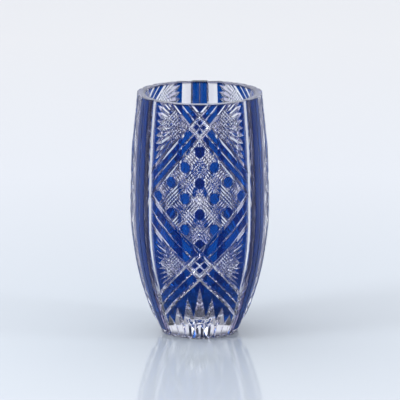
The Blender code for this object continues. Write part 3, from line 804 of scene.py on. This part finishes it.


# the glasses; deep, mid and pale are the tints of the painted facet and lip shade and light, clear the glass's own
# tint;
# sheen scales the part of the reflection that is seen head-on
crystal = {
    "clear": (0.965, 0.972, 0.985, 1.0), "deep": (0.032, 0.034, 0.085, 1.0), "mid": (0.38, 0.35, 0.53, 1.0),
    "pale": (0.98, 0.985, 1.0, 1.0), "ior": 1.545, "sheen": (0.4, 0.4, 0.42, 1.0), "ripple": 70.0,
}
cobalt = {
    "light": (0.003, 0.105, 0.49, 1.0), "deep": (0.0015, 0.050, 0.30, 1.0), "ior": 1.52, "roughness": 0.006,
    "spread": 0.02, "sheen": (0.22, 0.22, 0.25, 1.0), "ripple": 90.0, "clearness": 0.88,
}


def crystalMaterial(name, tones, roughness, spread, clearness):
    material, nodes, links, shader = newMaterial(name)
    tone = nodes.new("ShaderNodeGroup")
    tone.node_tree = facetTone
    for socket, tint in (("Clear Tint", "clear"), ("Deep Tint", "deep"), ("Mid Tint", "mid"), ("Pale Tint", "pale")):
        tone.inputs[socket].default_value = crystal[tint]
    for socket, value in tones.items():
        tone.inputs[socket].default_value = value
    links.new(nodes.new("ShaderNodeNewGeometry").outputs["True Normal"], tone.inputs["Facet"])
    links.new(tone.outputs["Color"], shader.inputs["Base Color"])
    shader.inputs["Transmission Weight"].default_value = clearness
    shader.inputs["IOR"].default_value = crystal["ior"]
    shader.inputs["Specular Tint"].default_value = crystal["sheen"]
    polishInto(nodes, links, shader, {
        "Ripple Scale": crystal["ripple"], "Base Roughness": roughness, "Spread": spread})
    return material


def cobaltMaterial(name, ior):
    material, nodes, links, shader = newMaterial(name)
    density = nodes.new("ShaderNodeGroup")
    density.node_tree = casingDensity
    density.inputs["Light Tint"].default_value = cobalt["light"]
    density.inputs["Deep Tint"].default_value = cobalt["deep"]
    links.new(density.outputs["Color"], shader.inputs["Base Color"])
    shader.inputs["Transmission Weight"].default_value = cobalt["clearness"]
    shader.inputs["IOR"].default_value = ior
    shader.inputs["Specular Tint"].default_value = cobalt["sheen"]
    if ior > 1:
        polishInto(nodes, links, shader, {
            "Ripple Scale": cobalt["ripple"], "Base Roughness": cobalt["roughness"], "Spread": cobalt["spread"]})
    else:
        shader.inputs["Roughness"].default_value = 0.0
    return material


# fused face of the clear body: light goes straight through
def bondMaterial():
    material, nodes, links, shader = newMaterial("fusedCrystal")
    shader.inputs["Base Color"].default_value = (1.0, 1.0, 1.0, 1.0)
    shader.inputs["Transmission Weight"].default_value = 1.0
    shader.inputs["IOR"].default_value = 1.0
    shader.inputs["Roughness"].default_value = 0.0
    return material


# levels of the painted facet light and shade; Sparkle is the painted sparkle on the hatching
facetShadeLevels = {"Middle": 0.80, "Swing": 1.15, "Sparkle": 0.0}
polishedCrystal = crystalMaterial("polishedCrystal", facetShadeLevels, roughness=0.004, spread=0.016, clearness=1.0)
cutCrystal = crystalMaterial("cutCrystal", facetShadeLevels, roughness=0.02, spread=0.03, clearness=0.82)
hatchShadeLevels = {"Middle": 0.46, "Swing": 0.72, "Sparkle": 1.5, "Cell Scale": 480.0}
hatchedCrystal = crystalMaterial("hatchedCrystal", hatchShadeLevels, roughness=0.25, spread=0.06, clearness=0.6)
fusedCrystal = bondMaterial()
cobaltCasing = cobaltMaterial("cobaltCasing", cobalt["ior"])
fusedCobalt = cobaltMaterial("fusedCobalt", 1.0)

crystalBody.data.materials.clear()
for finish in (polishedCrystal, fusedCrystal, hatchedCrystal, cutCrystal):
    crystalBody.data.materials.append(finish)
for piece in casingPieces:
    piece.data.materials.clear()
    for finish in (cobaltCasing, fusedCobalt):
        piece.data.materials.append(finish)

# floor, light and camera
# near, mid and far are floor colours painted darker towards the vase, as painted shade
studio = {
    "floor": 60.0, "near": (0.56, 0.625, 0.70), "mid": (0.75, 0.785, 0.85), "far": (0.83, 0.84, 0.87), "gloss": 0.09,
    "nearReach": 0.05, "farReach": 1.70, "midAt": 0.45, "dark": (0.05, 0.052, 0.06), "backdrop": (0.86, 0.89, 0.95),
    "wallTop": 0.20, "wallEnd": 0.50, "shine": 0.42, "gridLines": 13,
}
edge = np.linspace(-studio["floor"], studio["floor"], studio["gridLines"])
gridX, gridY = np.meshgrid(edge, edge)
floorPoints = np.stack([gridX, gridY, np.zeros_like(gridX)], axis=-1).reshape(-1, 3)
index = np.arange(len(edge) ** 2).reshape(len(edge), -1)
floorFaces = np.stack([index[:-1, :-1], index[:-1, 1:], index[1:, 1:], index[1:, :-1]], axis=-1).reshape(-1, 4)
studioFloor = putMesh("studioFloor", floorPoints, floorFaces.tolist())
material, nodes, links, shader = newMaterial("paleTable")
place = nodes.new("ShaderNodeTexCoord")
fromVase = nodes.new("ShaderNodeVectorMath")
fromVase.operation = "LENGTH"
links.new(place.outputs["Object"], fromVase.inputs[0])
# painted shade: the floor's colour darkens from far away towards the vase
ramp = nodes.new("ShaderNodeMapRange")
ramp.inputs["From Min"].default_value = studio["nearReach"]
ramp.inputs["From Max"].default_value = studio["farReach"]
links.new(fromVase.outputs["Value"], ramp.inputs["Value"])
tones = nodes.new("ShaderNodeValToRGB")
tones.color_ramp.elements[0].color = (*studio["near"], 1)
tones.color_ramp.elements[1].color = (*studio["far"], 1)
tones.color_ramp.elements.new(studio["midAt"]).color = (*studio["mid"], 1)
links.new(ramp.outputs[0], tones.inputs["Fac"])
links.new(tones.outputs["Color"], shader.inputs["Base Color"])
shader.inputs["Roughness"].default_value = studio["gloss"]
shader.inputs["Specular IOR Level"].default_value = studio["shine"]
studioFloor.data.materials.clear()
studioFloor.data.materials.append(material)

# world: pale walls all round and a darker room above them, so that facets have something dark to show
world = bpy.data.worlds.new("studioWorld")
world.use_nodes = True
nodes, links = world.node_tree.nodes, world.node_tree.links
heading, parts = nodes.new("ShaderNodeTexCoord"), nodes.new("ShaderNodeSeparateXYZ")
links.new(heading.outputs["Generated"], parts.inputs[0])
wallTop = nodes.new("ShaderNodeMapRange")
wallTop.interpolation_type = "SMOOTHSTEP"
wallTop.inputs["From Min"].default_value = studio["wallEnd"]
wallTop.inputs["From Max"].default_value = studio["wallTop"]
links.new(parts.outputs["Z"], wallTop.inputs["Value"])
room = nodes.new("ShaderNodeMix")
room.data_type = "RGBA"
room.inputs["A"].default_value = (*studio["dark"], 1)
room.inputs["B"].default_value = (*studio["backdrop"], 1)
links.new(wallTop.outputs[0], room.inputs["Factor"])
links.new(room.outputs["Result"], nodes["Background"].inputs["Color"])
nodes["Background"].inputs["Strength"].default_value = 1.0
scene.world = world

# overhead light over the whole table, a tall box on the left and a narrow one on the right
lamps = {
    "overhead": 2.55, "spread": 90.0, "overheadTilt": (-8.0, -10.0), "aim": (0.0, 0.0, 0.13),
    "boxes": {
        "leftBox": {"place": (-1.5, -0.7, 0.9), "size": (0.5, 1.3), "power": 14.0},
        "rightBox": {"place": (1.6, -0.5, 0.9), "size": (0.3, 1.2), "power": 8.0},
    },
}
overhead = bpy.data.lights.new("overhead", "SUN")
overhead.energy = lamps["overhead"]
overhead.angle = math.radians(lamps["spread"])
overheadLamp = bpy.data.objects.new("overhead", overhead)
overheadLamp.rotation_euler = (*np.radians(lamps["overheadTilt"]), 0.0)
scene.collection.objects.link(overheadLamp)
for name, box in lamps["boxes"].items():
    light = bpy.data.lights.new(name, "AREA")
    light.shape = "RECTANGLE"
    light.size, light.size_y = box["size"]
    light.energy = box["power"]
    lamp = bpy.data.objects.new(name, light)
    lamp.visible_camera = False
    scene.collection.objects.link(lamp)
    lamp.location = box["place"]
    away = np.asarray(box["place"]) - np.asarray(lamps["aim"])
    flat = math.hypot(away[0], away[1])
    lamp.rotation_euler = (math.atan2(flat, away[2]), 0.0, math.atan2(away[0], -away[1]))

view = {
    "lens": 400.0, "sensor": 36.0, "wide": 0.427, "elevation": 12.8, "aim": (0.0003, 0.0, 0.1429), "clipEnd": 60.0,
    "bounces": 40, "glossyBounces": 16,
}
cameraData = bpy.data.cameras.new("photoCamera")
cameraData.lens = view["lens"]
cameraData.sensor_width = view["sensor"]
cameraData.clip_end = view["clipEnd"]
distance = view["wide"] * view["lens"] / view["sensor"]
lookDown = math.radians(view["elevation"])
photoCamera = bpy.data.objects.new("photoCamera", cameraData)
scene.collection.objects.link(photoCamera)
photoCamera.location = (
    view["aim"][0], -distance * math.cos(lookDown), view["aim"][2] + distance * math.sin(lookDown))
photoCamera.rotation_euler = (math.pi / 2 - lookDown, 0.0, 0.0)
scene.camera = photoCamera
scene.view_settings.view_transform = "Standard"
scene.cycles.max_bounces = view["bounces"]
scene.cycles.transmission_bounces = view["bounces"]
scene.cycles.glossy_bounces = view["glossyBounces"]
